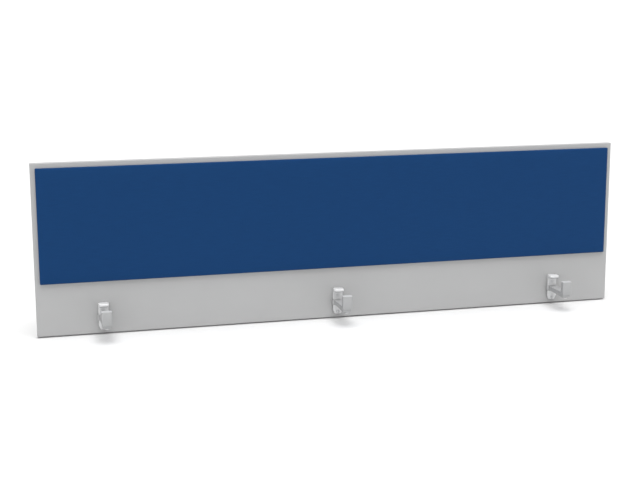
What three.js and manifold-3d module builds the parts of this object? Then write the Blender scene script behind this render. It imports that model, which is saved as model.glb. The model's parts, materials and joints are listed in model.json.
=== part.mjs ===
// Desk privacy panel: an edge-banded board with an upholstered pinboard pad on its front,
// carried by three screw clamps that grip the rear edge of a desk top.
//
// Millimetres, +Z up. X runs along the panel, -Y is the user's side, where the clamps are.
// The parts are drawn in the panel's own frame: x = 0 at its middle, y = 0 on the board's
// front face and z = 0 at its lower edge. The outer group then moves the origin to the
// centre clamp's upper jaw, where the panel sits on the desk top, so z = 0 is the desk.

import * as THREE from "three";
import { mergeVertices } from "three/addons/utils/BufferGeometryUtils.js";
import Module from "manifold-3d";

const wasm = await Module();
wasm.setup();

// ---------------------------------------------------------------- driving dimensions

const GAP = 0.3; // clearance between pieces that touch or are glued
const CUT = 1; // how far a cutting solid runs past the face it opens

const PANEL_LENGTH = 1600;
const PANEL_HEIGHT = 450;
const BOARD_THICKNESS = 18;
const BAND_THICKNESS = 2;
const GLUE_LINE = 0.1;

const PAD_MARGIN = 12.5; // board left showing beside and above the pad
const PAD_BOTTOM = 138.5;
const PAD_PROUD = 8;
const BACKING_THICKNESS = 4;
const COVER_WALL = 0.8;

const PAD_SCREW_INSET = 70; // from the pad's ends
const PAD_SCREW_EDGE = 45; // from the pad's upper and lower edges
const PAD_SCREW_RADIUS = 2; // M4
const SCREW_HEAD_RADIUS = 4;
const SCREW_HEAD_HEIGHT = 2.6;
const COUNTERBORE_RADIUS = 6.3;
const COUNTERBORE_DEPTH = 7;
const CAP_RIM_RADIUS = 7.5;
const CAP_RIM_HEIGHT = 0.9;
const CAP_PLUG_HEIGHT = 3;
const CAP_RIM_BEVEL = 1;
const TEE_FLANGE_RADIUS = 7;
const TEE_FLANGE_HEIGHT = 1;
const TEE_BARREL_RADIUS = 3;

const CLAMP_SPACING = 630;
const RAIL_WIDTH = 26;
const RAIL_BOTTOM = 11;
const RAIL_TOP = 82;
const RAIL_THICKNESS = 8;
const FLANGE_THICKNESS = 3.7;
const WEB_WIDTH = 18;
const FOOT_WIDTH = 16; // of the rail's lower end, which tapers
const FOOT_HEIGHT = 11;
const JAW_REACH = 25; // from the board's front face
const JAW_THICKNESS = 6;
const JAW_CORNER = 4;
const JAW_NOSE = 3; // rounding of the jaw's upper front edge
const GRIP_PAD_THICKNESS = 1.7;
const GRIP_PAD_SIDE_INSET = 2;
const GRIP_PAD_END_INSET = 2.5;

const RAIL_SCREW_RADIUS = 2.5; // M5
const UPPER_SCREW_Z = 63;
const LOWER_SCREW_Z = 16;
const COUNTERSINK_RADIUS = 5;
const COUNTERSINK_DEPTH = 2.6;
const BUTTON_RADIUS = 4.4;
const BUTTON_HEIGHT = 2.8;
const BUTTON_STEPS = 4; // facets up the dome
const RAIL_SCREW_KEY = 3; // hexagon key size
const FLUSH_KEY_DEPTH = 2;
const BUTTON_KEY_DEPTH = 1.8;
const INSERT_RADIUS = 4.2;
const INSERT_LENGTH = 13;
const RAIL_SCREW_END = 11; // how deep the rail screws reach into the board

const ARM_WIDTH = 21;
const ARM_TOP = 50.7;
const ARM_ROOT_BOTTOM = 38.5;
const ARM_END = 105.7; // from the board's front face
const ARM_END_CORNER = 3;
const ELBOW_BOTTOM = 36.5;
const ELBOW_ROUND = 7;
const HAUNCH = [78, 70, 58]; // how far out the arm's underside starts, bends and ends its rise
const SADDLE_BOTTOM = 36.5;
const SADDLE_FRONT_WALL = 5;
const SADDLE_CHEEK = 2.2;
const SADDLE_BEVEL = 2;
const LIP_BACK = 1.3; // from the lips' rear face to the board

const SPINDLE_REACH = 98;
const SPINDLE_RADIUS = 5; // M10, 1.5 mm pitch
const SPINDLE_BOTTOM = 34;
const SPINDLE_SHOULDER = 70;
const SPINDLE_CHAMFER = 1;
const BALL_RADIUS = 4.2;
const BALL_CENTRE = 73.5;
const BALL_STEPS = 6; // facets from neck to pole
const NECK_RADIUS = 3;
const SPINDLE_KEY = 5; // hexagon key size
const SPINDLE_KEY_DEPTH = 5;
const SHOE_WIDTH = 26;
const SHOE_FRONT = 108;
const SHOE_BACK = 93.4;
const SHOE_BOTTOM = 46;
const SHOE_ROOF = 70.8; // underside of the solid head between the shoe's cheeks
const SHOE_TOP = 79.5;
const SHOE_CORNER = 3;
const PRESS_PAD_THICKNESS = 2.2;

const ROUND_SEGMENTS = 24; // round pieces that show
const HIDDEN_SEGMENTS = 10; // round pieces inside the panel
const JAW_SEGMENTS = 8; // each rounded corner of the jaw
const ARM_SIDE_SEGMENTS = 10;
const ARM_END_SEGMENTS = 8;

const JAW_BOTTOM = RAIL_TOP - JAW_THICKNESS;
const SEAT_Y = -(RAIL_THICKNESS + JAW_REACH) / 2;
const SEAT_Z = JAW_BOTTOM - GAP - GRIP_PAD_THICKNESS;

// ---------------------------------------------------------------- materials

function material(color, roughness, metalness) {
  return new THREE.MeshStandardMaterial({ color, roughness, metalness });
}

const finish = {
  board: () => material(0xb9babb, 0.55, 0),
  band: () => material(0xbfc0c1, 0.5, 0),
  backing: () => material(0xb08a5c, 0.8, 0),
  foam: () => material(0xd9d4c2, 0.95, 0),
  fabric: () => material(0x1e4270, 0.95, 0),
  rail: () => material(0xd4d6d8, 0.35, 0.6),
  casting: () => material(0xbcbec0, 0.4, 0.6),
  steel: () => material(0xb4b7ba, 0.3, 1),
  brass: () => material(0xb5923f, 0.4, 1),
  rubber: () => material(0x7c7d7f, 0.85, 0),
  capPlastic: () => material(0xb9babb, 0.5, 0),
  padPlastic: () => material(0xbcbec0, 0.6, 0),
};

// ---------------------------------------------------------------- solids

function solid(geometry) {
  const bare = geometry.clone();
  bare.deleteAttribute("normal");
  bare.deleteAttribute("uv");
  const merged = mergeVertices(bare, 1e-4);
  return new wasm.Manifold(
    new wasm.Mesh({
      numProp: 3,
      vertProperties: new Float32Array(merged.attributes.position.array),
      triVerts: new Uint32Array(merged.index.array),
    }),
  );
}

function geometryOf(manifold) {
  const { vertProperties, triVerts } = manifold.getMesh();
  const geometry = new THREE.BufferGeometry();
  geometry.setAttribute("position", new THREE.BufferAttribute(vertProperties, 3));
  geometry.setIndex(new THREE.BufferAttribute(triVerts, 1));
  geometry.computeVertexNormals();
  return geometry;
}

function cut(base, tools) {
  return tools.reduce((left, tool) => left.subtract(solid(tool)), solid(base));
}

// A box between two corners.
function block([x0, y0, z0], [x1, y1, z1]) {
  const box = new THREE.BoxGeometry(x1 - x0, y1 - y0, z1 - z0);
  return box.translate((x0 + x1) / 2, (y0 + y1) / 2, (z0 + z1) / 2);
}

// A turned piece: the profile is [radius, height] pairs, with the height along +Z.
function turned(profile, segments) {
  const points = profile.map(([radius, height]) => new THREE.Vector2(radius, height));
  return new THREE.LatheGeometry(points, segments).rotateX(Math.PI / 2);
}

// The same with the height running into the board, along +Y.
function turnedInward(profile, segments, x, z) {
  const points = profile.map(([radius, height]) => new THREE.Vector2(radius, height));
  return new THREE.LatheGeometry(points, segments).translate(x, 0, z);
}

// 0, 1, 2 up to count.
function steps(count) {
  return Array.from({ length: count + 1 }, (_, step) => step);
}

// The profile of a plain cylinder between two heights.
function rod(radius, low, high) {
  return [
    [0, low],
    [radius, low],
    [radius, high],
    [0, high],
  ];
}

// A hexagonal key recess, its flats `across` apart, along +Z or +Y.
function hexagon(across, low, high) {
  const prism = new THREE.CylinderGeometry(across / Math.sqrt(3), across / Math.sqrt(3), high - low, 6);
  return prism.translate(0, (low + high) / 2, 0);
}

// A side outline drawn in (y, z) and extruded along X, centred on x = 0.
function sideExtrusion(shape, width, curveSegments) {
  const body = new THREE.ExtrudeGeometry(shape, { depth: width, bevelEnabled: false, curveSegments });
  body.rotateY(Math.PI / 2);
  body.rotateX(Math.PI / 2);
  return body.translate(-width / 2, 0, 0);
}

// A plan outline drawn in (x, y) and extruded upwards between two heights.
function planExtrusion(shape, low, high, curveSegments) {
  const body = new THREE.ExtrudeGeometry(shape, { depth: high - low, bevelEnabled: false, curveSegments });
  return body.translate(0, 0, low);
}

// A front outline drawn in (x, z) and extruded forwards from the board's front face.
function frontExtrusion(shape, depth) {
  const body = new THREE.ExtrudeGeometry(shape, { depth, bevelEnabled: false });
  return body.rotateX(Math.PI / 2);
}

// A plan outline with its two front corners rounded.
function noseOutline(half, front, back, corner) {
  const shape = new THREE.Shape();
  shape.moveTo(half, back);
  shape.lineTo(-half, back);
  shape.lineTo(-half, front + corner);
  shape.absarc(-half + corner, front + corner, corner, Math.PI, 1.5 * Math.PI, false);
  shape.absarc(half - corner, front + corner, corner, 1.5 * Math.PI, 2 * Math.PI, false);
  return shape;
}

function polygon(points) {
  return new THREE.Shape(points.map(([a, b]) => new THREE.Vector2(a, b)));
}

const assembly = new THREE.Group();

function add(parent, name, geometry, surface) {
  const mesh = new THREE.Mesh(geometry, surface);
  mesh.name = name;
  parent.add(mesh);
}

// ---------------------------------------------------------------- pad and its fasteners

const padHalf = PANEL_LENGTH / 2 - PAD_MARGIN;
const padTop = PANEL_HEIGHT - PAD_MARGIN;
const padScrews = [-1, 0, 1].flatMap((column) =>
  [PAD_BOTTOM + PAD_SCREW_EDGE, padTop - PAD_SCREW_EDGE].map((z) => [
    column * (padHalf - PAD_SCREW_INSET),
    z,
  ]),
);
const clampPlaces = [
  ["left", -CLAMP_SPACING],
  ["centre", 0],
  ["right", CLAMP_SPACING],
];
const counterboreFloor = BOARD_THICKNESS - COUNTERBORE_DEPTH;
const backingFront = -GAP - BACKING_THICKNESS;
const coverFront = -PAD_PROUD;

function padCover() {
  const inner = COVER_WALL + GAP;
  const outside = block([-padHalf, coverFront, PAD_BOTTOM], [padHalf, -GAP, padTop]);
  const inside = block(
    [-padHalf + COVER_WALL, coverFront + COVER_WALL, PAD_BOTTOM + COVER_WALL],
    [padHalf - COVER_WALL, CUT, padTop - COVER_WALL],
  );
  add(assembly, "pad_fabric_cover", geometryOf(cut(outside, [inside])), finish.fabric());
  const low = [-padHalf + inner, PAD_BOTTOM + inner];
  const high = [padHalf - inner, padTop - inner];
  const foam = block(
    [low[0], coverFront + COVER_WALL + GAP, low[1]],
    [high[0], backingFront - GAP, high[1]],
  );
  add(assembly, "pad_foam", foam, finish.foam());
  const backing = block([low[0], backingFront, low[1]], [high[0], -GAP, high[1]]);
  const holes = padScrews.flatMap(([x, z]) => [
    turnedInward(rod(TEE_BARREL_RADIUS + GAP, backingFront - CUT, CUT), HIDDEN_SEGMENTS, x, z),
    turnedInward(
      rod(TEE_FLANGE_RADIUS + GAP, backingFront - CUT, backingFront + TEE_FLANGE_HEIGHT + GAP),
      HIDDEN_SEGMENTS,
      x,
      z,
    ),
  ]);
  add(assembly, "pad_backing_board", geometryOf(cut(backing, holes)), finish.backing());
}

function padFasteners() {
  padScrews.forEach(([x, z], index) => {
    const number = index + 1;
    const bore = PAD_SCREW_RADIUS + GAP;
    const teeNut = [
      [bore, backingFront],
      [TEE_FLANGE_RADIUS, backingFront],
      [TEE_FLANGE_RADIUS, backingFront + TEE_FLANGE_HEIGHT],
      [TEE_BARREL_RADIUS, backingFront + TEE_FLANGE_HEIGHT],
      [TEE_BARREL_RADIUS, -2 * GAP],
      [bore, -2 * GAP],
      [bore, backingFront],
    ];
    add(
      assembly,
      `pad_tee_nut_${number}`,
      turnedInward(teeNut, HIDDEN_SEGMENTS, x, z),
      finish.steel(),
    );
    const headLow = counterboreFloor + GAP;
    const screw = [
      [0, backingFront + GAP],
      [PAD_SCREW_RADIUS, backingFront + GAP],
      [PAD_SCREW_RADIUS, headLow],
      [SCREW_HEAD_RADIUS, headLow],
      [SCREW_HEAD_RADIUS, headLow + SCREW_HEAD_HEIGHT],
      [0, headLow + SCREW_HEAD_HEIGHT],
    ];
    add(
      assembly,
      `pad_screw_${number}`,
      turnedInward(screw, HIDDEN_SEGMENTS, x, z),
      finish.steel(),
    );
    const rimLow = BOARD_THICKNESS + GAP / 3;
    const cap = [
      [0, BOARD_THICKNESS - CAP_PLUG_HEIGHT],
      [COUNTERBORE_RADIUS - GAP, BOARD_THICKNESS - CAP_PLUG_HEIGHT],
      [COUNTERBORE_RADIUS - GAP, rimLow],
      [CAP_RIM_RADIUS, rimLow],
      [CAP_RIM_RADIUS, rimLow + CAP_RIM_HEIGHT / 3],
      [CAP_RIM_RADIUS - CAP_RIM_BEVEL, rimLow + CAP_RIM_HEIGHT],
      [0, rimLow + CAP_RIM_HEIGHT],
    ];
    add(
      assembly,
      `pad_screw_cap_${number}`,
      turnedInward(cap, ROUND_SEGMENTS, x, z),
      finish.capPlastic(),
    );
  });
}

// ---------------------------------------------------------------- board and edge bands

function board() {
  const half = PANEL_LENGTH / 2 - BAND_THICKNESS - GLUE_LINE;
  const low = BAND_THICKNESS + GLUE_LINE;
  const blank = block([-half, 0, low], [half, BOARD_THICKNESS, PANEL_HEIGHT - low]);
  const padHoles = padScrews.flatMap(([x, z]) => [
    turnedInward(rod(PAD_SCREW_RADIUS + GAP, -CUT, BOARD_THICKNESS + CUT), HIDDEN_SEGMENTS, x, z),
    turnedInward(
      rod(COUNTERBORE_RADIUS, counterboreFloor, BOARD_THICKNESS + CUT),
      ROUND_SEGMENTS,
      x,
      z,
    ),
  ]);
  const insertHoles = clampPlaces.flatMap(([, x]) =>
    [UPPER_SCREW_Z, LOWER_SCREW_Z].map((z) =>
      turnedInward(rod(INSERT_RADIUS + GAP, -CUT, INSERT_LENGTH + GAP), HIDDEN_SEGMENTS, x, z),
    ),
  );
  const core = cut(blank, [...padHoles, ...insertHoles]);
  add(assembly, "board_core", geometryOf(core), finish.board());
}

function edgeBands() {
  const half = PANEL_LENGTH / 2;
  const inner = half - BAND_THICKNESS;
  const sideLow = BAND_THICKNESS + GLUE_LINE;
  const sideHigh = PANEL_HEIGHT - sideLow;
  const bands = {
    edge_band_bottom: block([-half, 0, 0], [half, BOARD_THICKNESS, BAND_THICKNESS]),
    edge_band_top: block(
      [-half, 0, PANEL_HEIGHT - BAND_THICKNESS],
      [half, BOARD_THICKNESS, PANEL_HEIGHT],
    ),
    edge_band_left: block([-half, 0, sideLow], [-inner, BOARD_THICKNESS, sideHigh]),
    edge_band_right: block([inner, 0, sideLow], [half, BOARD_THICKNESS, sideHigh]),
  };
  Object.entries(bands).forEach(([name, band]) => add(assembly, name, band, finish.band()));
}

// ---------------------------------------------------------------- clamp

// The rail is a T section with the upper jaw cast on its top end.
function rail() {
  const half = RAIL_WIDTH / 2;
  const flangeBack = -RAIL_THICKNESS + FLANGE_THICKNESS;
  const section = polygon([
    [-half, -RAIL_THICKNESS],
    [half, -RAIL_THICKNESS],
    [half, flangeBack],
    [WEB_WIDTH / 2, flangeBack],
    [WEB_WIDTH / 2, -GAP],
    [-WEB_WIDTH / 2, -GAP],
    [-WEB_WIDTH / 2, flangeBack],
    [-half, flangeBack],
  ]);
  const foot = FOOT_WIDTH / 2;
  const front = polygon([
    [-foot, RAIL_BOTTOM],
    [foot, RAIL_BOTTOM],
    [half, RAIL_BOTTOM + FOOT_HEIGHT],
    [half, RAIL_TOP],
    [-half, RAIL_TOP],
    [-half, RAIL_BOTTOM + FOOT_HEIGHT],
  ]);
  const bar = solid(planExtrusion(section, RAIL_BOTTOM, RAIL_TOP, 1)).intersect(
    solid(frontExtrusion(front, RAIL_THICKNESS + CUT)),
  );

  const side = new THREE.Shape();
  side.moveTo(flangeBack, JAW_BOTTOM);
  side.lineTo(-JAW_REACH, JAW_BOTTOM);
  side.lineTo(-JAW_REACH, RAIL_TOP - JAW_NOSE);
  side.absarc(-JAW_REACH + JAW_NOSE, RAIL_TOP - JAW_NOSE, JAW_NOSE, Math.PI, Math.PI / 2, true);
  side.lineTo(flangeBack, RAIL_TOP);

  const plan = noseOutline(half, -JAW_REACH, flangeBack, JAW_CORNER);
  const jaw = solid(sideExtrusion(side, RAIL_WIDTH, JAW_SEGMENTS)).intersect(
    solid(planExtrusion(plan, JAW_BOTTOM - CUT, RAIL_TOP + CUT, JAW_SEGMENTS)),
  );
  const countersink = [
    [0, -RAIL_THICKNESS - CUT],
    [COUNTERSINK_RADIUS + GAP, -RAIL_THICKNESS - CUT],
    [COUNTERSINK_RADIUS + GAP, -RAIL_THICKNESS],
    [RAIL_SCREW_RADIUS + GAP, -RAIL_THICKNESS + COUNTERSINK_DEPTH],
    [RAIL_SCREW_RADIUS + GAP, CUT],
    [0, CUT],
  ];
  const through = rod(RAIL_SCREW_RADIUS + GAP, -RAIL_THICKNESS - CUT, CUT);
  return geometryOf(
    bar
      .add(jaw)
      .subtract(solid(turnedInward(countersink, ROUND_SEGMENTS, 0, UPPER_SCREW_Z)))
      .subtract(solid(turnedInward(through, ROUND_SEGMENTS, 0, LOWER_SCREW_Z))),
  );
}

// The flush screw at the top, which the sliding arm passes over.
function countersunkScrew() {
  const face = -RAIL_THICKNESS;
  const profile = [
    [0, face],
    [COUNTERSINK_RADIUS, face],
    [RAIL_SCREW_RADIUS, face + COUNTERSINK_DEPTH],
    [RAIL_SCREW_RADIUS, RAIL_SCREW_END],
    [0, RAIL_SCREW_END],
  ];
  const key = hexagon(RAIL_SCREW_KEY, face - CUT, face + FLUSH_KEY_DEPTH);
  return geometryOf(cut(turnedInward(profile, ROUND_SEGMENTS, 0, 0), [key])).translate(
    0,
    0,
    UPPER_SCREW_Z,
  );
}

// The button-head screw at the foot of the rail, which stops the sliding arm.
function buttonScrew() {
  const face = -RAIL_THICKNESS - GAP;
  const dome = steps(BUTTON_STEPS).map((step) => {
    const angle = (step / BUTTON_STEPS) * (Math.PI / 2);
    return [BUTTON_RADIUS * Math.sin(angle), face - BUTTON_HEIGHT * Math.cos(angle)];
  });
  const profile = [
    ...dome,
    [RAIL_SCREW_RADIUS, face],
    [RAIL_SCREW_RADIUS, RAIL_SCREW_END],
    [0, RAIL_SCREW_END],
  ];
  const crown = face - BUTTON_HEIGHT;
  const key = hexagon(RAIL_SCREW_KEY, crown - CUT, crown + BUTTON_KEY_DEPTH);
  return geometryOf(cut(turnedInward(profile, ROUND_SEGMENTS, 0, 0), [key])).translate(
    0,
    0,
    LOWER_SCREW_Z,
  );
}

function threadedInsert(z) {
  const bore = RAIL_SCREW_RADIUS + GAP;
  const profile = [
    [bore, 0],
    [INSERT_RADIUS, 0],
    [INSERT_RADIUS, INSERT_LENGTH],
    [bore, INSERT_LENGTH],
    [bore, 0],
  ];
  return turnedInward(profile, HIDDEN_SEGMENTS, 0, z);
}

// The arm: a saddle round the rail's flange and a beam whose end the spindle is threaded through.
function arm() {
  const saddleFront = -RAIL_THICKNESS - GAP - SADDLE_FRONT_WALL;
  const inner = RAIL_WIDTH / 2 + GAP;
  const outer = inner + SADDLE_CHEEK;
  const lipFront = -RAIL_THICKNESS + FLANGE_THICKNESS + GAP;
  const lipInner = WEB_WIDTH / 2 + GAP;
  const section = polygon([
    [-outer, saddleFront + SADDLE_BEVEL],
    [-outer + SADDLE_BEVEL, saddleFront],
    [outer - SADDLE_BEVEL, saddleFront],
    [outer, saddleFront + SADDLE_BEVEL],
    [outer, -LIP_BACK],
    [lipInner, -LIP_BACK],
    [lipInner, lipFront],
    [inner, lipFront],
    [inner, -RAIL_THICKNESS - GAP],
    [-inner, -RAIL_THICKNESS - GAP],
    [-inner, lipFront],
    [-lipInner, lipFront],
    [-lipInner, -LIP_BACK],
    [-outer, -LIP_BACK],
  ]);
  const saddle = solid(planExtrusion(section, SADDLE_BOTTOM, ARM_TOP, 1));

  const root = saddleFront + SADDLE_FRONT_WALL / 2;
  const [low, bend, high] = HAUNCH;
  const side = new THREE.Shape();
  side.moveTo(root, ARM_TOP);
  side.lineTo(-ARM_END, ARM_TOP);
  side.lineTo(-ARM_END, ELBOW_BOTTOM + ELBOW_ROUND);
  side.absarc(
    -ARM_END + ELBOW_ROUND,
    ELBOW_BOTTOM + ELBOW_ROUND,
    ELBOW_ROUND,
    Math.PI,
    1.5 * Math.PI,
    false,
  );
  side.lineTo(-low, ELBOW_BOTTOM);
  side.bezierCurveTo(-bend, ELBOW_BOTTOM, -bend, ARM_ROOT_BOTTOM, -high, ARM_ROOT_BOTTOM);
  side.lineTo(root, ARM_ROOT_BOTTOM);

  const plan = noseOutline(ARM_WIDTH / 2, -ARM_END, 0, ARM_END_CORNER);
  const beam = solid(sideExtrusion(side, ARM_WIDTH + 2 * CUT, ARM_SIDE_SEGMENTS)).intersect(
    solid(planExtrusion(plan, 0, ARM_TOP + CUT, ARM_END_SEGMENTS)),
  );
  const bore = turned(rod(SPINDLE_RADIUS + GAP, 0, ARM_TOP + CUT), ROUND_SEGMENTS);
  return geometryOf(saddle.add(beam).subtract(solid(bore.translate(0, -SPINDLE_REACH, 0))));
}

// The spindle: a threaded rod with a key recess below and a ball end above.
function spindle() {
  const neckAngle = Math.asin(NECK_RADIUS / BALL_RADIUS);
  const ball = steps(BALL_STEPS).map((step) => {
    const angle = (Math.PI - neckAngle) * (1 - step / BALL_STEPS);
    const radius = step === BALL_STEPS ? 0 : BALL_RADIUS * Math.sin(angle);
    return [radius, BALL_CENTRE + BALL_RADIUS * Math.cos(angle)];
  });
  const profile = [
    [0, SPINDLE_BOTTOM],
    [SPINDLE_RADIUS - SPINDLE_CHAMFER, SPINDLE_BOTTOM],
    [SPINDLE_RADIUS, SPINDLE_BOTTOM + SPINDLE_CHAMFER],
    [SPINDLE_RADIUS, SPINDLE_SHOULDER - SPINDLE_CHAMFER],
    [SPINDLE_RADIUS - SPINDLE_CHAMFER, SPINDLE_SHOULDER],
    [NECK_RADIUS, SPINDLE_SHOULDER],
    ...ball,
  ];
  const key = hexagon(SPINDLE_KEY, SPINDLE_BOTTOM - CUT, SPINDLE_BOTTOM + SPINDLE_KEY_DEPTH);
  const body = cut(turned(profile, ROUND_SEGMENTS), [key.rotateX(Math.PI / 2)]);
  return geometryOf(body).translate(0, -SPINDLE_REACH, 0);
}

// The shoe: a head that the spindle's ball turns in, with a skirt that slides down round the
// arm's end on three sides and keeps the shoe from turning.
function pressureShoe() {
  const outline = noseOutline(SHOE_WIDTH / 2, -SHOE_FRONT, -SHOE_BACK, SHOE_CORNER);
  const inner = ARM_WIDTH / 2 + GAP;
  const channel = block(
    [-inner, -ARM_END - GAP, SHOE_BOTTOM - CUT],
    [inner, -SHOE_BACK + CUT, SHOE_ROOF],
  );
  const ceiling = BALL_CENTRE + BALL_RADIUS + GAP;
  const socket = turned(rod(BALL_RADIUS + GAP, SHOE_ROOF - CUT, ceiling), ROUND_SEGMENTS);
  return geometryOf(
    cut(planExtrusion(outline, SHOE_BOTTOM, SHOE_TOP, JAW_SEGMENTS), [
      channel,
      socket.translate(0, -SPINDLE_REACH, 0),
    ]),
  );
}

function pressurePad() {
  const low = SHOE_TOP + GAP;
  const outline = noseOutline(SHOE_WIDTH / 2, -SHOE_FRONT, -SHOE_BACK, SHOE_CORNER);
  return planExtrusion(outline, low, low + PRESS_PAD_THICKNESS, JAW_SEGMENTS);
}

function clamp(side, x) {
  const group = new THREE.Group();
  group.position.x = x;
  const half = RAIL_WIDTH / 2;
  const gripPad = block(
    [-half + GRIP_PAD_SIDE_INSET, -JAW_REACH + GRIP_PAD_END_INSET, SEAT_Z],
    [half - GRIP_PAD_SIDE_INSET, -RAIL_THICKNESS - GRIP_PAD_END_INSET, SEAT_Z + GRIP_PAD_THICKNESS],
  );
  add(group, `${side}_clamp_rail`, rail(), finish.rail());
  add(group, `${side}_clamp_jaw_pad`, gripPad, finish.rubber());
  add(group, `${side}_clamp_upper_screw`, countersunkScrew(), finish.steel());
  add(group, `${side}_clamp_stop_screw`, buttonScrew(), finish.steel());
  add(group, `${side}_upper_insert`, threadedInsert(UPPER_SCREW_Z), finish.brass());
  add(group, `${side}_lower_insert`, threadedInsert(LOWER_SCREW_Z), finish.brass());
  add(group, `${side}_clamp_arm`, arm(), finish.casting());
  add(group, `${side}_clamp_spindle`, spindle(), finish.steel());
  add(group, `${side}_pressure_shoe`, pressureShoe(), finish.casting());
  add(group, `${side}_pressure_pad`, pressurePad(), finish.padPlastic());
  assembly.add(group);
}

board();
edgeBands();
padCover();
padFasteners();
clampPlaces.forEach(([side, x]) => clamp(side, x));

assembly.position.set(0, -SEAT_Y, -SEAT_Z);

const group = new THREE.Group();
group.add(assembly);

export default group;
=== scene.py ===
import json
import math

import bmesh
import bpy
from mathutils import Matrix, Vector, noise


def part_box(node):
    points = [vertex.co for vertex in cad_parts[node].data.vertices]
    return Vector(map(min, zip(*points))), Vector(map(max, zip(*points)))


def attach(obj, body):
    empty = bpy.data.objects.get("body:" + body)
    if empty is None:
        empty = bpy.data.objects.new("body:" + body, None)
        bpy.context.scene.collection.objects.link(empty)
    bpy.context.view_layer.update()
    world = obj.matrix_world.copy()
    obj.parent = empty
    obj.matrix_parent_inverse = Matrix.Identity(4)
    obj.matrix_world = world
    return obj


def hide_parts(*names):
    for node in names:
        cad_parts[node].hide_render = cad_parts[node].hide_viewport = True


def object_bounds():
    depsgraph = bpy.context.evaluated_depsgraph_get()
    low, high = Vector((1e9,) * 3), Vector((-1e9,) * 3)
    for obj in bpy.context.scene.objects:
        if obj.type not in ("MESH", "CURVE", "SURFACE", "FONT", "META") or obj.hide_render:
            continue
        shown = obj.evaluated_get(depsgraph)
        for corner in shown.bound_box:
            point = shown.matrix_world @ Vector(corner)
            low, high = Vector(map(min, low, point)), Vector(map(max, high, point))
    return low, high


# Desk privacy panel: an edge-banded grey board with an upholstered blue pad and three desk
# clamps. Metres, in the CAD model's frame: x along the panel, -y the user's side, z up.

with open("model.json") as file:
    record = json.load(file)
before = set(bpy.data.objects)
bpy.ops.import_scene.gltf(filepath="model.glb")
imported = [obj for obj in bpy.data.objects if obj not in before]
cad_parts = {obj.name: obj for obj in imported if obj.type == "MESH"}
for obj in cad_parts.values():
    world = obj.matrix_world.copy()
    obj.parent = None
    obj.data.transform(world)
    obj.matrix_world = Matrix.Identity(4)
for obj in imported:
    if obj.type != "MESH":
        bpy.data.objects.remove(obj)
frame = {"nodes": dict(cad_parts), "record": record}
cad_low, cad_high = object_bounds()

SIDES = ("left", "centre", "right")
ROUND = 64  # points round a turned piece

# ------------------------------------------------------------------ camera

CAMERA_LENS = 71.215
CAMERA_PLACE = Vector((-0.8855, -3.2156, 0.800))
CAMERA_YAW = math.radians(14.533)  # from +y towards +x
CAMERA_PITCH = math.radians(11.151)  # downwards
CAMERA_ROLL = math.radians(-0.18)
SENSOR_WIDTH = 36.0
CLIP_END = 1000.0  # past the floor's far edge


def make_camera():
    camera = bpy.data.objects.new("camera", bpy.data.cameras.new("camera"))
    bpy.context.scene.collection.objects.link(camera)
    camera.data.lens = CAMERA_LENS
    camera.data.sensor_width = SENSOR_WIDTH
    camera.data.clip_end = CLIP_END
    turn = (
        Matrix.Rotation(-CAMERA_YAW, 4, "Z")
        @ Matrix.Rotation(math.pi / 2 - CAMERA_PITCH, 4, "X")
        @ Matrix.Rotation(CAMERA_ROLL, 4, "Z")
    )
    camera.matrix_world = Matrix.Translation(CAMERA_PLACE) @ turn
    bpy.context.scene.camera = camera


# ------------------------------------------------------------------ materials

NOISE_LOW, NOISE_HIGH = 0.25, 0.75  # nearly all of a noise texture's values lie between these
MIX_DARK, MIX_LIGHT, MIX_RESULT = 6, 7, 2  # the colour sockets of a Mix node


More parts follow.
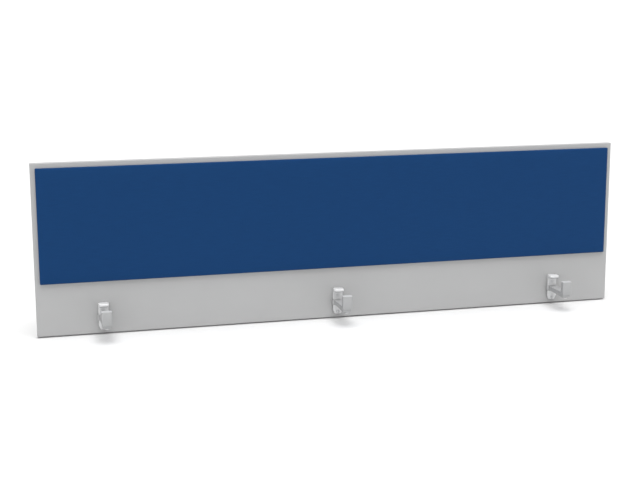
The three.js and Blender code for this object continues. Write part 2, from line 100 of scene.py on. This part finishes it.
class Surface:
    """A node material on one Principled shader, with short helpers for its textures."""

    def __init__(self, name, color, roughness, metallic=0.0, **constants):
        self.material = bpy.data.materials.new(name)
        self.material.use_nodes = True
        self.tree = self.material.node_tree
        self.shader = self.tree.nodes["Principled BSDF"]
        self.set(self.shader, "Base Color", (*color, 1.0))
        self.set(self.shader, "Roughness", roughness)
        self.set(self.shader, "Metallic", metallic)
        for socket, value in constants.items():
            self.set(self.shader, socket.replace("_", " "), value)
        self.place = self.node("ShaderNodeTexCoord").outputs["Object"]

    def node(self, kind):
        return self.tree.nodes.new(kind)

    def set(self, node, socket, value):
        node.inputs[socket].default_value = value

    def join(self, output, node, socket):
        self.tree.links.new(output, node.inputs[socket])

    def noise(self, scale, detail=4.0, stretch=(1.0, 1.0, 1.0), roughness=0.5):
        mapping = self.node("ShaderNodeMapping")
        self.set(mapping, "Scale", stretch)
        self.join(self.place, mapping, "Vector")
        texture = self.node("ShaderNodeTexNoise")
        self.set(texture, "Scale", scale)
        self.set(texture, "Detail", detail)
        self.set(texture, "Roughness", roughness)
        self.join(mapping.outputs["Vector"], texture, "Vector")
        return texture.outputs["Fac"]

    def cells(self, scale):
        texture = self.node("ShaderNodeTexVoronoi")
        self.set(texture, "Scale", scale)
        self.join(self.place, texture, "Vector")
        return texture.outputs["Distance"]

    def math(self, operation, first, second=None, third=None):
        node = self.node("ShaderNodeMath")
        node.operation = operation
        for index, value in enumerate((first, second, third)):
            if isinstance(value, (int, float)):
                self.set(node, index, value)
            elif value is not None:
                self.join(value, node, index)
        return node.outputs[0]

    def ramp(self, factor, low, high):
        """Remaps the middle half of a 0 to 1 factor to low to high."""
        node = self.node("ShaderNodeMapRange")
        self.set(node, "From Min", NOISE_LOW)
        self.set(node, "From Max", NOISE_HIGH)
        self.set(node, "To Min", low)
        self.set(node, "To Max", high)
        self.join(factor, node, "Value")
        return node.outputs["Result"]

    def tint(self, factor, dark, light):
        node = self.node("ShaderNodeMix")
        node.data_type = "RGBA"
        self.set(node, MIX_DARK, (*dark, 1.0))
        self.set(node, MIX_LIGHT, (*light, 1.0))
        self.join(factor, node, 0)
        self.join(node.outputs[MIX_RESULT], self.shader, "Base Color")

    def rough(self, factor, low, high):
        self.join(self.ramp(factor, low, high), self.shader, "Roughness")

    def bump(self, height, strength, distance, below=None):
        node = self.node("ShaderNodeBump")
        self.set(node, "Strength", strength)
        self.set(node, "Distance", distance)
        self.join(height, node, "Height")
        if below is not None:
            self.join(below, node, "Normal")
        self.join(node.outputs["Normal"], self.shader, "Normal")
        return node.outputs["Normal"]


def shade(color, factor):
    return tuple(channel * factor for channel in color)


def melamine():
    grey = (0.345, 0.346, 0.347)
    surface = Surface("melamine", grey, 0.5)
    cloud = surface.noise(9.0, 3.0)
    surface.tint(surface.ramp(cloud, 0.0, 1.0), shade(grey, 0.985), shade(grey, 1.015))
    pebble = surface.noise(1100.0, 2.0)
    surface.rough(surface.noise(240.0), 0.44, 0.56)
    surface.bump(pebble, 0.12, 0.0002)
    return surface.material


def edging():
    grey = (0.350, 0.351, 0.353)
    surface = Surface("abs_edging", grey, 0.42)
    streak = surface.noise(60.0, 3.0, stretch=(1.0, 30.0, 1.0))
    surface.tint(surface.ramp(streak, 0.0, 1.0), shade(grey, 0.98), shade(grey, 1.02))
    surface.rough(surface.noise(300.0), 0.36, 0.48)
    surface.bump(streak, 0.08, 0.0002)
    return surface.material


YARN = 0.0011  # spacing of the cloth's threads


def screen_cloth():
    """Plain-woven melange screen cloth: threads over and under, slubs, fuzz and a little sheen."""
    blue = (0.0063, 0.0368, 0.1160)
    surface = Surface("screen_cloth", blue, 0.9, Sheen_Weight=0.03, Sheen_Roughness=0.5)
    surface.set(surface.shader, "Specular IOR Level", 0.08)
    split = surface.node("ShaderNodeSeparateXYZ")
    surface.join(surface.place, split, "Vector")
    drift = surface.math("MULTIPLY", surface.noise(40.0, 2.0), YARN * 0.8)
    waves = []
    for axis in ("X", "Z"):
        along = surface.math("ADD", split.outputs[axis], split.outputs["Y"])
        along = surface.math("ADD", along, drift)
        waves.append(surface.math("SINE", surface.math("MULTIPLY", along, math.pi / YARN)))
    crossing = surface.math("MULTIPLY", waves[0], waves[1])
    over = surface.math("MULTIPLY_ADD", crossing, 0.5, 0.5)
    height = surface.math("POWER", surface.math("ABSOLUTE", crossing), 0.6)
    fibre = surface.noise(2600.0, 3.0)
    slub = surface.noise(120.0, 4.0, stretch=(0.25, 1.0, 3.0))
    tone = surface.math("MULTIPLY", over, 0.35)
    tone = surface.math("ADD", tone, surface.math("MULTIPLY", fibre, 0.4))
    tone = surface.math("ADD", tone, surface.math("MULTIPLY", slub, 0.3))
    surface.tint(surface.ramp(tone, 0.0, 1.0), shade(blue, 0.74), shade(blue, 1.26))
    weave = surface.bump(height, 0.55, 0.00025)
    surface.bump(fibre, 0.25, 0.0001, below=weave)
    return surface.material


WORN_FROM, WORN_FULL = 0.5, 0.6  # pointiness of an edge where its wear begins and is full


def satin_metal(name, silver):
    """Clamp metal with a satin silver finish, brighter where its edges are handled."""
    surface = Surface(name, silver, 0.4, metallic=0.1)
    worn = surface.node("ShaderNodeNewGeometry").outputs["Pointiness"]
    edge = surface.node("ShaderNodeMapRange")
    surface.set(edge, "From Min", WORN_FROM)
    surface.set(edge, "From Max", WORN_FULL)
    surface.join(worn, edge, "Value")
    patch = surface.math("MULTIPLY", edge.outputs["Result"], surface.noise(700.0))
    cloud = surface.math("MULTIPLY", surface.noise(90.0), 0.35)
    surface.tint(surface.math("ADD", patch, cloud), shade(silver, 0.95), shade(silver, 1.2))
    surface.rough(surface.noise(420.0), 0.27, 0.42)
    surface.bump(surface.noise(1500.0, 2.0), 0.1, 0.00015)
    return surface.material


def bright_steel():
    zinc = (0.52, 0.525, 0.53)
    surface = Surface("zinc_steel", zinc, 0.38, 0.6)
    surface.tint(surface.ramp(surface.noise(350.0), 0.0, 1.0), shade(zinc, 0.9), shade(zinc, 1.1))
    surface.rough(surface.noise(900.0), 0.32, 0.45)
    surface.bump(surface.noise(2200.0, 2.0), 0.06, 0.0001)
    return surface.material


def grey_rubber():
    grey = (0.20, 0.20, 0.205)
    surface = Surface("grey_rubber", grey, 0.8)
    dust = surface.noise(500.0)
    surface.tint(surface.ramp(dust, 0.0, 1.0), shade(grey, 0.9), shade(grey, 1.15))
    surface.rough(dust, 0.7, 0.9)
    surface.bump(surface.noise(1800.0), 0.3, 0.0002)
    return surface.material


def moulded_plastic(name, color):
    surface = Surface(name, color, 0.45)
    surface.tint(surface.noise(80.0), shade(color, 0.97), shade(color, 1.03))
    surface.rough(surface.noise(600.0), 0.4, 0.52)
    surface.bump(surface.noise(1600.0, 2.0), 0.12, 0.00015)
    return surface.material


def brass():
    gold = (0.55, 0.39, 0.14)
    surface = Surface("brass", gold, 0.35, 1.0)
    surface.tint(surface.noise(260.0), shade(gold, 0.85), shade(gold, 1.1))
    surface.rough(surface.noise(500.0), 0.28, 0.45)
    surface.bump(surface.cells(1400.0), 0.4, 0.0003)
    return surface.material


def hardboard():
    brown = (0.30, 0.18, 0.09)
    surface = Surface("hardboard", brown, 0.8)
    fibre = surface.noise(300.0, 6.0, stretch=(1.0, 1.0, 4.0))
    surface.tint(fibre, shade(brown, 0.7), shade(brown, 1.3))
    surface.rough(fibre, 0.7, 0.9)
    surface.bump(fibre, 0.3, 0.0003)
    return surface.material


def felt_foam():
    cream = (0.66, 0.62, 0.50)
    surface = Surface("felt_foam", cream, 0.95)
    pores = surface.cells(900.0)
    surface.tint(pores, shade(cream, 0.75), cream)
    surface.rough(surface.noise(300.0), 0.88, 1.0)
    surface.bump(pores, 0.5, 0.0004)
    return surface.material


FINISHES = {
    "board_melamine": melamine(),
    "edge_band": edging(),
    "pad_backing": hardboard(),
    "pad_foam": felt_foam(),
    "pad_fabric": screen_cloth(),
    "fastener_steel": bright_steel(),
    "cap_plastic": moulded_plastic("cap_plastic", (0.40, 0.402, 0.405)),
    # One satin metal in two tones: the rail's silver is painted lighter, a painted fill light that
    # offsets the shade under its jaw, and the other castings' silver is painted darker, a painted
    # shade.
    "rail_aluminium": satin_metal("rail_aluminium", (0.56, 0.563, 0.567)),
    "clamp_casting": satin_metal("satin_casting_painted_shade", (0.315, 0.318, 0.321)),
    "jaw_rubber": grey_rubber(),
    "press_pad_plastic": moulded_plastic("press_pad_plastic", (0.42, 0.423, 0.427)),
    "insert_brass": brass(),
}
SLOT_OF = {row["node"]: row["material_slot"] for row in frame["record"]["subparts"]}
BODY_OF = {
    node: body for body, nodes in frame["record"]["behaviour"]["bodies"].items() for node in nodes
}

# ------------------------------------------------------------------ mesh helpers


SMOOTH_ANGLE = math.radians(35)  # edges with a sharper turn than this are drawn sharp
PAD_SMOOTH_ANGLE = math.radians(60)


def piece(mesh, name, node, smooth_angle=SMOOTH_ANGLE):
    """Puts a mesh in the scene in place of a CAD node, with that node's finish and body."""
    mesh.name = name
    obj = bpy.data.objects.new(name, mesh)
    bpy.context.scene.collection.objects.link(obj)
    slot = SLOT_OF[node]
    mesh.materials.clear()
    mesh.materials.append(FINISHES[slot])
    mesh.shade_smooth()
    mesh.set_sharp_from_angle(angle=smooth_angle)
    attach(obj, BODY_OF[node])
    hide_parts(node)
    return obj


def loft(rings, turn, place):
    """A closed skin through rings of equal length; a ring of one point closes an end."""
    mesh = bpy.data.meshes.new("loft")
    work = bmesh.new()
    rows = [[work.verts.new(turn @ Vector(point) + place) for point in ring] for ring in rings]
    for low, high in zip(rows, rows[1:]):
        count = max(len(low), len(high))
        for index in range(count):
            after = (index + 1) % count
            corners = []
            for row, step in ((low, index), (low, after), (high, after), (high, index)):
                vertex = row[step % len(row)]
                if vertex not in corners:
                    corners.append(vertex)
            if len(corners) > 2:
                work.faces.new(corners)
    bmesh.ops.recalc_face_normals(work, faces=work.faces)
    work.to_mesh(mesh)
    work.free()
    return mesh


def circle(radius, height):
    """A level ring of points, or a single point where the radius is 0."""
    if radius == 0:
        return [(0.0, 0.0, height)]
    steps = (2 * math.pi * index / ROUND for index in range(ROUND))
    return [(radius * math.cos(angle), radius * math.sin(angle), height) for angle in steps]


def hexagon(across, height):
    """A hexagon's outline with as many points as a circle, its flats `across` apart."""
    ring = []
    for index in range(ROUND):
        angle = 2 * math.pi * index / ROUND
        from_flat = (angle % (math.pi / 3)) - math.pi / 6
        radius = across / 2 / math.cos(from_flat)
        ring.append((radius * math.cos(angle), radius * math.sin(angle), height))
    return ring


ARC_STEPS = 4  # steps along a rounded corner
ARC_SHARE = 0.45  # the most of a side that its corner's arc takes up


def rounded(profile, radius):
    """A polyline of (radius, height) points with its corners rounded, except the two ends."""
    result = [profile[0]]
    for before, corner, after in zip(profile, profile[1:], profile[2:]):
        before, corner, after = Vector(before), Vector(corner), Vector(after)
        into, out = before - corner, after - corner
        reach = min(radius, into.length * ARC_SHARE, out.length * ARC_SHARE)
        start, end = corner + into.normalized() * reach, corner + out.normalized() * reach
        for step in range(ARC_STEPS + 1):
            t = step / ARC_STEPS
            result.append(tuple(start * (1 - t) ** 2 + corner * (2 * t * (1 - t)) + end * t**2))
    result.append(profile[-1])
    return result


KEY_LIP = 1.25  # radius of the flat lip round a key recess, in halves of its flats
INWARD = Matrix.Rotation(-math.pi / 2, 3, "X")  # turns +z to +y, into the board


def turned(profile, radius, place, key=None):
    """A turned mesh with its axis along +y, its profile starting at `place`.

    key = (flats, depth) sinks a hexagonal recess into the end it starts at.
    """
    rings = [circle(r, h) for r, h in rounded(profile, radius)]
    if key:
        flats, depth = key
        mouth = profile[0][1]
        recess = [[(0.0, 0.0, mouth + depth)], hexagon(flats, mouth + depth), hexagon(flats, mouth)]
        lip = circle(flats / 2 * KEY_LIP, mouth)
        rings = [*recess, lip, *rings[1:]]
    return loft(rings, INWARD, place)


WELD = 1e-6
FLAT_ANGLE = math.radians(1.0)  # triangles that turn less than this are joined
SHARP_ANGLE = math.radians(32)  # edges that turn more than this are rounded
BEVEL_SEGMENTS = 3
SLIVER = 2e-6  # edges shorter than this after rounding are closed up


def softened(node, width, keep=None):
    """A copy of a CAD node's mesh with its coplanar triangles joined and its edges rounded.

    keep, where given, tells which of the sharp edges are rounded.
    """
    work = bmesh.new()
    work.from_mesh(frame["nodes"][node].data)
    bmesh.ops.remove_doubles(work, verts=work.verts, dist=WELD)
    bmesh.ops.dissolve_limit(
        work,
        angle_limit=FLAT_ANGLE,
        verts=work.verts,
        edges=work.edges,
        use_dissolve_boundaries=False,
    )
    sharp = [
        edge
        for edge in work.edges
        if len(edge.link_faces) == 2
        and edge.calc_face_angle() > SHARP_ANGLE
        and (keep is None or keep(edge))
    ]
    bmesh.ops.bevel(
        work,
        geom=sharp,
        offset=width,
        offset_type="OFFSET",
        segments=BEVEL_SEGMENTS,
        profile=0.5,
        affect="EDGES",
        clamp_overlap=True,
        loop_slide=True,
    )
    bmesh.ops.dissolve_degenerate(work, dist=SLIVER, edges=work.edges)
    mesh = bpy.data.meshes.new(node)
    work.to_mesh(mesh)
    work.free()
    return mesh


def extent(node):
    """The low corner, the middle and the size of a CAD node's box."""
    low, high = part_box(node)
    return low, (low + high) / 2, high - low


# ------------------------------------------------------------------ board and edge bands


def dress_cad_nodes():
    """The board and the pieces inside it keep their CAD shapes and take their finishes."""
    for name, node in frame["nodes"].items():
        for material_slot in node.material_slots:
            material_slot.material = FINISHES[SLOT_OF[name]]


BAND_ROUND = 0.0012  # the routed rounding of the bands' outer edges
BAND_FACES = {"top": (2, 1), "bottom": (2, -1), "left": (0, -1), "right": (0, 1)}  # axis, sign
ON_FACE = 1e-5  # how near a face a point counts as lying on it


def edge_bands():
    """Each band is rounded where it faces out, and meets the board's face flush inside."""
    for side, (axis, sign) in BAND_FACES.items():
        node = f"edge_band_{side}"
        face = max(sign * corner[axis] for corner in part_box(node))

        def outer(edge, axis=axis, sign=sign, face=face):
            return all(abs(sign * vertex.co[axis] - face) < ON_FACE for vertex in edge.verts)

        piece(softened(node, BAND_ROUND, keep=outer), f"{side}_edging", node)


# ------------------------------------------------------------------ upholstered pad

PAD_ROUND = 0.0024  # rounding of the front edge, small enough to cover the foam's corners
PAD_CELL = 0.0065  # spacing of the front's grid
PAD_SWELL = 0.0012  # the most that the foam stands the cloth out
CORNER_STEPS = 6
EDGE_STEPS = 5

CLOTH_FRAMES = 16
CLOTH_QUALITY = 4
CLOTH_MASS = 0.25
CLOTH_STIFFNESS = 30.0
CLOTH_BENDING = 2.0
FOAM_PRESSURE = 4.0


def pad_mesh():
    """The pad as a closed skin: a fine front, a rolled edge with round corners and a flat back.

    Returns the mesh, how many of its first points are the front's, and the front's columns.
    """
    low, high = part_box("pad_fabric_cover")
    front, back = low.y, high.y
    inner_low = Vector((low.x + PAD_ROUND, 0, low.z + PAD_ROUND))
    inner_high = Vector((high.x - PAD_ROUND, 0, high.z - PAD_ROUND))
    columns = round((inner_high.x - inner_low.x) / PAD_CELL)
    rows = round((inner_high.z - inner_low.z) / PAD_CELL)
    work = bmesh.new()

    def vertex(x, y, z):
        return work.verts.new((x, y, z))

    grid = [
        [
            vertex(
                inner_low.x + (inner_high.x - inner_low.x) * i / columns,
                front,
                inner_low.z + (inner_high.z - inner_low.z) * j / rows,
            )
            for i in range(columns + 1)
        ]
        for j in range(rows + 1)
    ]
    for lower, upper in zip(grid, grid[1:]):
        for i in range(columns):
            work.faces.new((lower[i], lower[i + 1], upper[i + 1], upper[i]))

    border = []  # (grid vertex, outward angle in the xz plane)
    sides = (
        ([grid[0][i] for i in range(columns + 1)], -math.pi / 2),
        ([grid[j][columns] for j in range(rows + 1)], 0.0),
        ([grid[rows][i] for i in range(columns, -1, -1)], math.pi / 2),
        ([grid[j][0] for j in range(rows, -1, -1)], math.pi),
    )
    for run, angle in sides:
        border += [(anchor, angle) for anchor in run]
        corner = run[-1]
        border += [
            (corner, angle + math.pi / 2 * step / CORNER_STEPS) for step in range(1, CORNER_STEPS)
        ]

    def ring(offset, y):
        return [
            vertex(a.co.x + offset * math.cos(t), y, a.co.z + offset * math.sin(t))
            for a, t in border
        ]

    rings = [[anchor for anchor, _ in border]]
    for step in range(1, EDGE_STEPS + 1):
        angle = math.pi / 2 * step / EDGE_STEPS
        rings.append(ring(PAD_ROUND * math.sin(angle), front + PAD_ROUND * (1 - math.cos(angle))))
    rings.append(ring(PAD_ROUND, back))
    for inside, outside in zip(rings, rings[1:]):
        for k in range(len(border)):
            after = (k + 1) % len(border)
            corners = [inside[k], outside[k], outside[after], inside[after]]
            if corners[0] == corners[3]:
                corners.pop()
            work.faces.new(corners)
    work.faces.new(rings[-1])
    bmesh.ops.recalc_face_normals(work, faces=work.faces)
    mesh = bpy.data.meshes.new("upholstered_pad")
    work.to_mesh(mesh)
    work.free()
    inner = (columns + 1) * (rows + 1)
    return mesh, inner, columns


def swell(pad, inner, columns):
    """The cloth under the foam's pressure, held all round its rolled edge, then capped."""
    held = pad.vertex_groups.new(name="held")
    edge = [
        index
        for index in range(len(pad.data.vertices))
        if index >= inner
        or index % (columns + 1) in (0, columns)
        or index < columns + 1
        or index >= inner - columns - 1
    ]
    held.add(edge, 1.0, "REPLACE")
    start = [vertex.co.copy() for vertex in pad.data.vertices]
    cloth = pad.modifiers.new("cloth", "CLOTH")
    settings = cloth.settings
    settings.quality = CLOTH_QUALITY
    settings.mass = CLOTH_MASS
    settings.tension_stiffness = CLOTH_STIFFNESS
    settings.compression_stiffness = CLOTH_STIFFNESS
    settings.bending_stiffness = CLOTH_BENDING
    settings.use_pressure = True
    settings.uniform_pressure_force = FOAM_PRESSURE
    settings.vertex_group_mass = held.name
    settings.effector_weights.gravity = 0.0
    cloth.point_cache.frame_start = 1
    cloth.point_cache.frame_end = CLOTH_FRAMES
    scene = bpy.context.scene
    for frame_number in range(1, CLOTH_FRAMES + 1):
        scene.frame_set(frame_number)
    evaluated = pad.evaluated_get(bpy.context.evaluated_depsgraph_get())
    ended = [vertex.co.copy() for vertex in evaluated.data.vertices]
    pad.modifiers.remove(cloth)
    scene.frame_set(1)
    for vertex, before, after in zip(pad.data.vertices, start, ended):
        out = before.y - after.y
        capped = PAD_SWELL * math.tanh(out / PAD_SWELL)
        vertex.co = before + Vector((0, -capped, 0))


SLOW_WAVE = (9, 0, 14)  # waves a metre along x and z, and where in the noise they are cut
SLOW_DEPTH = 0.00012
FINE_WAVE = (45, 3.1, 30)
FINE_DEPTH = 0.00004


def ripple(x, z, wave):
    across, cut, up = wave
    return noise.noise(Vector((x * across, cut, z * up)))


def slacken(pad, inner):
    """The small unevenness of hand-stretched cloth: slow waves with fine ones on them."""
    for vertex in list(pad.data.vertices)[:inner]:
        slow = ripple(vertex.co.x, vertex.co.z, SLOW_WAVE)
        fine = ripple(vertex.co.x, vertex.co.z, FINE_WAVE)
        vertex.co.y += SLOW_DEPTH * slow + FINE_DEPTH * fine


def upholstered_pad():
    mesh, inner, columns = pad_mesh()
    pad = piece(mesh, "upholstered_pad", "pad_fabric_cover", PAD_SMOOTH_ANGLE)
    swell(pad, inner, columns)
    slacken(pad, inner)


# ------------------------------------------------------------------ fasteners

SCREW_CAPS = 6
CAP_STEP = 0.0015  # from the cap's plug out to its rim, and the width of the rim's bevel
CAP_RIM = 0.0009  # height of the rim, whose bevel takes its upper CAP_BEVEL
CAP_BEVEL = 0.0004
CAP_DISH = (0.002, 0.00015, 0.00025)  # radius of the dished middle, its edge's depth, its depth
CAP_ROUND = 0.0003

SHANK_RADIUS = 0.0025  # M5
SCREW_FLATS = 0.003
FLUSH_KEY_DEPTH = 0.002
FLUSH_RIM = 0.0003  # height of the countersunk head's straight rim
FLUSH_HEAD = 0.0026  # height of the whole head
FLUSH_ROUND = 0.0002
BUTTON_KEY_DEPTH = 0.0018
BUTTON_HEIGHT = 0.0028
BUTTON_CROWN = 0.0022  # radius of the flat crown round the key
BUTTON_RIM = 0.0004  # height of the head's straight rim
BUTTON_STEPS = 8
BUTTON_ROUND = 0.00015


def screw_caps():
    """The push-in caps over the pad's screws, with a plug, a bevelled rim and a dished face."""
    for number in range(1, SCREW_CAPS + 1):
        node = f"pad_screw_cap_{number}"
        low, centre, size = extent(node)
        rim, face = size.x / 2, size.y
        plug = rim - CAP_STEP
        dish, edge_depth, depth = CAP_DISH
        profile = [
            (0, 0),
            (plug, 0),
            (plug, face - CAP_RIM),
            (rim, face - CAP_RIM),
            (rim, face - CAP_BEVEL),
            (rim - CAP_STEP, face),
            (dish, face - edge_depth),
            (0, face - depth),
        ]
        mesh = turned(profile, CAP_ROUND, Vector((centre.x, low.y, centre.z)))
        piece(mesh, f"screw_cover_{number}", node)


def upper_screw(side):
    """The countersunk screw that is flush with the rail's front."""
    node = f"{side}_clamp_upper_screw"
    low, centre, size = extent(node)
    head = size.x / 2
    profile = [
        (0, 0),
        (head, 0),
        (head, FLUSH_RIM),
        (SHANK_RADIUS, FLUSH_HEAD),
        (SHANK_RADIUS, size.y),
        (0, size.y),
    ]
    key = (SCREW_FLATS, FLUSH_KEY_DEPTH)
    mesh = turned(profile, FLUSH_ROUND, Vector((centre.x, low.y, centre.z)), key)
    piece(mesh, f"{side}_flush_screw", node)


def stop_screw(side):
    """The button-head screw that the arm's saddle stops on."""
    node = f"{side}_clamp_stop_screw"
    low, centre, size = extent(node)
    head = size.x / 2
    dome = []
    for step in range(BUTTON_STEPS + 1):
        angle = math.pi / 2 * step / BUTTON_STEPS
        radius = BUTTON_CROWN + (head - BUTTON_CROWN) * math.sin(angle)
        dome.append((radius, (BUTTON_HEIGHT - BUTTON_RIM) * (1 - math.cos(angle))))
    profile = [
        (0, 0),
        *dome,
        (head, BUTTON_HEIGHT),
        (SHANK_RADIUS, BUTTON_HEIGHT),
        (SHANK_RADIUS, size.y),
        (0, size.y),
    ]
    key = (SCREW_FLATS, BUTTON_KEY_DEPTH)
    mesh = turned(profile, BUTTON_ROUND, Vector((centre.x, low.y, centre.z)), key)
    piece(mesh, f"{side}_button_screw", node)


# ------------------------------------------------------------------ clamps

PITCH = 0.0015
THREAD_DEPTH = 0.00092
ROWS_A_PITCH = 8
CREST_EDGE = 0.85  # where the crest ends, from the root's middle (0) to the crest's (1)
FLANK_WIDTH = 0.6
THREAD_INSET = 0.0012  # from each end of the shank to the thread
BALL_RADIUS = 0.0042
BALL_STEPS = 12
NECK_RADIUS = 0.0030
SHOULDER_TO_TOP = 0.0077
KEY_FLATS = 0.005
KEY_DEPTH = 0.005
KEY_MOUTH = 0.65  # radius of the flat round the key recess, in flats

# A clamp's softened pieces: CAD node, edge rounding, name
SOFTENED = (
    ("clamp_rail", 0.0006, "rail_casting"),
    ("clamp_arm", 0.0006, "arm_casting"),
    ("clamp_jaw_pad", 0.0004, "rubber_seat"),
    ("pressure_shoe", 0.0006, "shoe_casting"),
    ("pressure_pad", 0.0006, "grip_pad"),
)


def thread_radius(crest, phase):
    """A metric thread's radius: a narrow crest, a sloping flank, a root and the flank back."""
    away = abs(phase % 1.0 - 0.5) * 2
    return crest - THREAD_DEPTH * min(max((CREST_EDGE - away) / FLANK_WIDTH, 0.0), 1.0)


def thread_ring(crest, height, share):
    """One ring of the thread; share, 0 to 1, is how much of its depth stands at this height."""
    root = crest - THREAD_DEPTH
    ring = []
    for index in range(ROUND):
        angle = 2 * math.pi * index / ROUND
        full = thread_radius(crest, height / PITCH - index / ROUND)
        radius = root + (full - root) * share
        ring.append((radius * math.cos(angle), radius * math.sin(angle), height))
    return ring


def spindle(side):
    """The threaded spindle, with its key recess below and its ball end above."""
    node = f"{side}_clamp_spindle"
    low, centre, size = extent(node)
    crest, top = size.x / 2, size.z
    shoulder = top - SHOULDER_TO_TOP
    thread_low, thread_high = THREAD_INSET, shoulder - THREAD_INSET
    count = round((thread_high - thread_low) / PITCH * ROWS_A_PITCH)
    rings = [
        [(0, 0, KEY_DEPTH)],
        hexagon(KEY_FLATS, KEY_DEPTH),
        hexagon(KEY_FLATS, 0.0),
        circle(KEY_FLATS * KEY_MOUTH, 0.0),
        circle(crest - THREAD_DEPTH, 0.0),
    ]
    for row in range(count + 1):
        height = thread_low + (thread_high - thread_low) * row / count
        fade = min(1.0, (height - thread_low) / PITCH, (thread_high - height) / PITCH)
        rings.append(thread_ring(crest, height, max(fade, 0.0)))
    rings.append(circle(crest - THREAD_DEPTH, shoulder))
    rings.append(circle(NECK_RADIUS, shoulder))
    ball_centre = top - BALL_RADIUS
    start = math.asin(NECK_RADIUS / BALL_RADIUS)
    for step in range(BALL_STEPS + 1):
        angle = math.pi - start - (math.pi - start) * step / BALL_STEPS
        radius = BALL_RADIUS * math.sin(angle) if step < BALL_STEPS else 0
        rings.append(circle(radius, ball_centre + BALL_RADIUS * math.cos(angle)))
    mesh = loft(rings, Matrix.Identity(3), Vector((centre.x, centre.y, low.z)))
    piece(mesh, f"{side}_threaded_spindle", node)


def clamp(side):
    for part, width, name in SOFTENED:
        piece(softened(f"{side}_{part}", width), f"{side}_{name}", f"{side}_{part}")
    spindle(side)
    upper_screw(side)
    stop_screw(side)


# ------------------------------------------------------------------ floor and light

FLOOR_REACH = 400.0
FLOOR_DROP = 0.0035  # the panel stands just off the floor, which gives its thin contact line
FLOOR_TONE = (0.64, 0.64, 0.64)
KEY_STRENGTH = 4.4
KEY_SPREAD = math.radians(62)
KEY_TILT = math.radians(12)  # it shines from above, a little in front
FILL_STRENGTH = 0.76
FILL_SPREAD = math.radians(60)
FILL_TURN = (math.radians(72), 0.0, math.radians(-32))  # from low in front, to the left
WALL_LIGHT, CEILING_LIGHT = 1.3, 0.2
WALL_TOP, CEILING_EDGE = 0.08, 0.5  # the heights, of 1 overhead, that the fade lies between


def make_floor():
    mesh = bpy.data.meshes.new("floor")
    work = bmesh.new()
    height = cad_low.z - FLOOR_DROP
    corners = [(-1, -1), (1, -1), (1, 1), (-1, 1)]
    work.faces.new([work.verts.new((x * FLOOR_REACH, y * FLOOR_REACH, height)) for x, y in corners])
    work.to_mesh(mesh)
    work.free()
    floor = bpy.data.objects.new("floor", mesh)
    bpy.context.scene.collection.objects.link(floor)
    surface = Surface("pale_floor", FLOOR_TONE, 0.9)
    surface.set(surface.shader, "Specular IOR Level", 0.0)
    surface.tint(surface.noise(2.0), shade(FLOOR_TONE, 0.99), shade(FLOOR_TONE, 1.01))
    mesh.materials.append(surface.material)


def softbox(name, strength, spread, turn):
    """A sun as wide as a big softbox, so that its shadows are soft."""
    light = bpy.data.objects.new(name, bpy.data.lights.new(name, "SUN"))
    bpy.context.scene.collection.objects.link(light)
    light.data.energy = strength
    light.data.angle = spread
    light.rotation_euler = turn


def make_sky():
    """A white studio wall round the horizon under a dimmer ceiling."""
    world = bpy.data.worlds.new("studio")
    bpy.context.scene.world = world
    world.use_nodes = True
    tree = world.node_tree
    place = tree.nodes.new("ShaderNodeTexCoord")
    split = tree.nodes.new("ShaderNodeSeparateXYZ")
    fade = tree.nodes.new("ShaderNodeMapRange")
    for socket, value in (
        ("From Min", WALL_TOP),
        ("From Max", CEILING_EDGE),
        ("To Min", WALL_LIGHT),
        ("To Max", CEILING_LIGHT),
    ):
        fade.inputs[socket].default_value = value
    tree.links.new(place.outputs["Generated"], split.inputs["Vector"])
    tree.links.new(split.outputs["Z"], fade.inputs["Value"])
    tree.links.new(fade.outputs["Result"], tree.nodes["Background"].inputs["Strength"])
    tree.nodes["Background"].inputs["Color"].default_value = (1.0, 1.0, 1.0, 1.0)


def make_light():
    make_sky()
    softbox("key", KEY_STRENGTH, KEY_SPREAD, (KEY_TILT, 0.0, 0.0))
    softbox("fill", FILL_STRENGTH, FILL_SPREAD, FILL_TURN)
    bpy.context.scene.view_settings.view_transform = "Standard"


# ------------------------------------------------------------------ the scene

make_camera()
make_floor()
make_light()
dress_cad_nodes()
edge_bands()
upholstered_pad()
screw_caps()
for side_name in SIDES:
    clamp(side_name)
